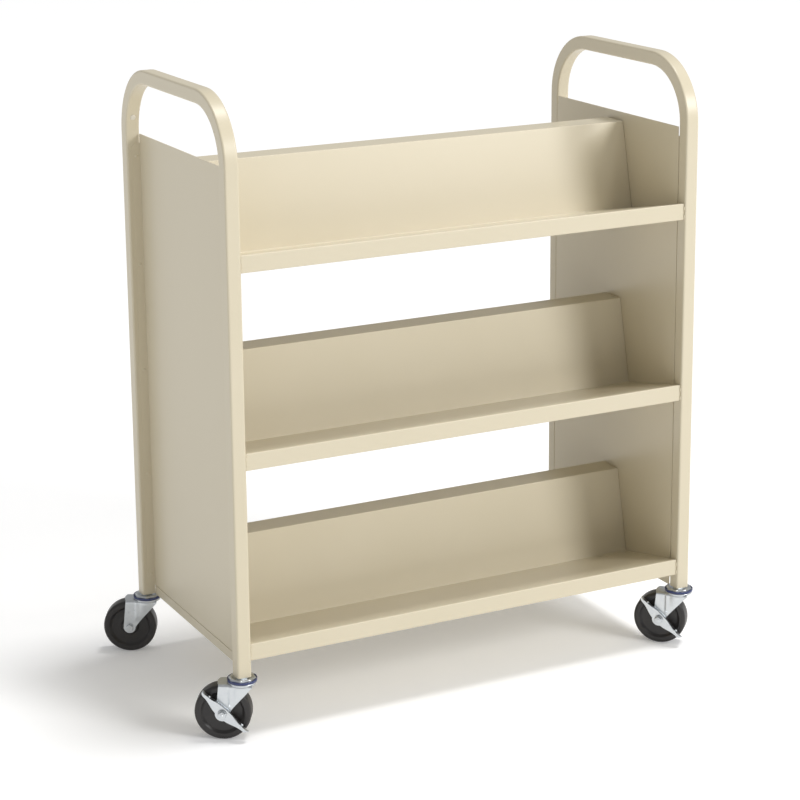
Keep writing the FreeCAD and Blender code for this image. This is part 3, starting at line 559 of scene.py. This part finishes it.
def make_hex(name, height, washer):
    """Hexagon head with chamfered corners on a round washer face, standing up from z = 0."""
    head = start_piece(name, bpy.ops.mesh.primitive_cylinder_add, vertices=6, radius=7.5 * MM,
                       depth=(height - washer) * MM, location=(0, 0, 0))
    shift(head, 0, 0, washer + (height - washer) / 2)

    def dome_top():
        pick(head, "faces", lambda middle, face: face.normal.z > 0.9)
        bpy.ops.mesh.inset(thickness=0.9 * MM, depth=0.6 * MM)

    edit(head, dome_top)
    round_edges(head, 0.45, 3, 20)
    face = turn_on_lathe(name + "_face", [(2, 0), (8, 0), (8, washer * 0.6), (7.2, washer), (2, washer)], 40)
    return join([head, face])


def make_thread_end(length):
    """End of the axle bolt: eight-millimetre thread of 1.25 pitch with a chamfered tip."""
    pitch, root, crest = 1.25, 3.45, 3.95
    outline = [(0.4, 0), (root, 0)]
    for turn in range(int((length - 1) / pitch)):
        outline += [(crest, pitch * (turn + 0.35)), (crest, pitch * (turn + 0.6)), (root, pitch * (turn + 1))]
    outline += [(root, length - 1), (root - 0.9, length), (0.4, length)]
    return turn_on_lathe("thread_end", outline, 32)


def make_nut(base):
    nut = make_hex("axle_nut", 5.5, 1.2)
    thread = make_thread_end(7.4)
    nut = join([nut, thread])
    lay_along_y(nut)
    shift(nut, TRAIL, base, AXLE_HEIGHT)
    return nut


def make_lever():
    """Two-armed brake lever: a flat plate round the axle whose upper edge is turned out as a tread,
    widened to a rounded pad at each end."""
    far, hub = 52, 12.5

    def low_edge(u):
        if abs(u) < hub:
            disc = -math.sqrt(hub * hub - u * u)
        else:
            disc = 99
        arm = -7 + 8 * smooth_step((abs(u) - 8) / 36)
        return min(disc, arm)

    def tip_round(u):
        past = min(max((abs(u) - far + 8) / 8, 0), 1)
        return math.sqrt(1 - past * past)

    def form(across, along):
        u = (across - 0.5) * 2 * far
        rise = 12.4 - 2.6 * smooth_step((abs(u) - 6) / 40)
        width = (7 + 4.5 * smooth_step((abs(u) - 12) / 22)) * (0.12 + 0.88 * tip_round(u))
        low = low_edge(u)
        low = rise - 2.6 - (rise - 2.6 - low) * (0.1 + 0.9 * tip_round(u))
        bend = 2.2
        if along < 0.62:
            v, out = low + (rise - bend - low) * along / 0.62, 0
        elif along < 0.74:
            turn = (along - 0.62) / 0.12 * math.pi / 2
            v, out = rise - bend + bend * math.sin(turn), bend - bend * math.cos(turn)
        else:
            share = (along - 0.74) / 0.26
            v, out = rise + 0.5 * share, bend + (width - bend) * share
        x = u * math.cos(LEVER_ANGLE) - v * math.sin(LEVER_ANGLE)
        z = u * math.sin(LEVER_ANGLE) + v * math.cos(LEVER_ANGLE)
        return x, out, z

    plate = press_from_sheet("brake_lever", 120, 48, form, -LEVER_SHEET)
    round_edges(plate, 0.4, 2, 50)
    shift(plate, TRAIL, LEVER_BASE, AXLE_HEIGHT)
    bumps = []
    for u, v, out, wide in ((38, 11, 6.5, 2.2), (-36, 11.6, 5.5, 2.6)):
        bump = start_piece("bump", bpy.ops.mesh.primitive_uv_sphere_add, segments=20, ring_count=12,
                           radius=wide * MM)
        reshape(bump, lambda place: Vector((place.x, place.y, place.z * 0.7)))
        turn = Matrix.Rotation(-LEVER_ANGLE, 4, "Y")
        reshape(bump, lambda place: turn @ place)
        shift(bump, TRAIL + u * math.cos(LEVER_ANGLE) - v * math.sin(LEVER_ANGLE), LEVER_BASE + out,
              AXLE_HEIGHT + u * math.sin(LEVER_ANGLE) + v * math.cos(LEVER_ANGLE))
        bumps.append(bump)
    return join([plate, *bumps])


def place_of(caster):
    """From the caster's own frame to the cart's."""
    stem = Vector(JOINTS[f"{caster}_swivel"]["pos_m"])
    axle_way = Vector(JOINTS[f"{caster}_roll"]["axis"])
    trail_way = Vector((axle_way.y, -axle_way.x, 0))
    turn = Matrix((trail_way, axle_way, (0, 0, 1))).transposed()
    return Matrix.Translation((stem.x, stem.y, 0)) @ turn.to_4x4()


def put(master, caster, node, body, slot):
    """Copy a modelled piece to one caster, with its own mesh, standing for the CAD node."""
    piece = master.copy()
    piece.data = master.data.copy()
    piece.name = piece.data.name = f"{caster}_{node}_made"
    bpy.context.scene.collection.objects.link(piece)
    piece.data.transform(place_of(caster))
    piece.data.materials.clear()
    piece.data.materials.append(FINISHES[slot])
    select(piece)
    bpy.ops.object.shade_smooth_by_angle(angle=math.radians(32))
    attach(piece, body)
    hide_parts(f"{caster}_{node}")


def make_casters():
    masters = {
        "wheel": make_wheel(),
        "fork": make_fork(),
        "race_cap": make_cap(),
        "seal_ring": make_seal_ring(),
        "axle_nut": make_nut(FORK_SIDE),
        "brake_lever": make_lever(),
        "braked_nut": make_nut(FORK_SIDE + 3.8),
    }
    for caster in CASTERS:
        fork_body = f"{caster}_swivel_fork"
        put(masters["wheel"], caster, "wheel", f"{caster}_rolling_wheel", "black_rubber")
        put(masters["fork"], caster, "fork", fork_body, "zinc_plated_steel")
        put(masters["race_cap"], caster, "race_cap", "cart_frame", "zinc_plated_steel")
        put(masters["seal_ring"], caster, "seal_ring", "cart_frame", "blue_plastic")
        nut = masters["braked_nut" if caster in BRAKED else "axle_nut"]
        put(nut, caster, "axle_nut", fork_body, "zinc_plated_steel")
        if caster in BRAKED:
            put(masters["brake_lever"], caster, "brake_lever", f"{caster}_brake", "zinc_plated_steel")
    for master in masters.values():
        bpy.data.objects.remove(master)


set_camera()
set_light()
set_floor()
finish_cad_nodes()
make_casters()
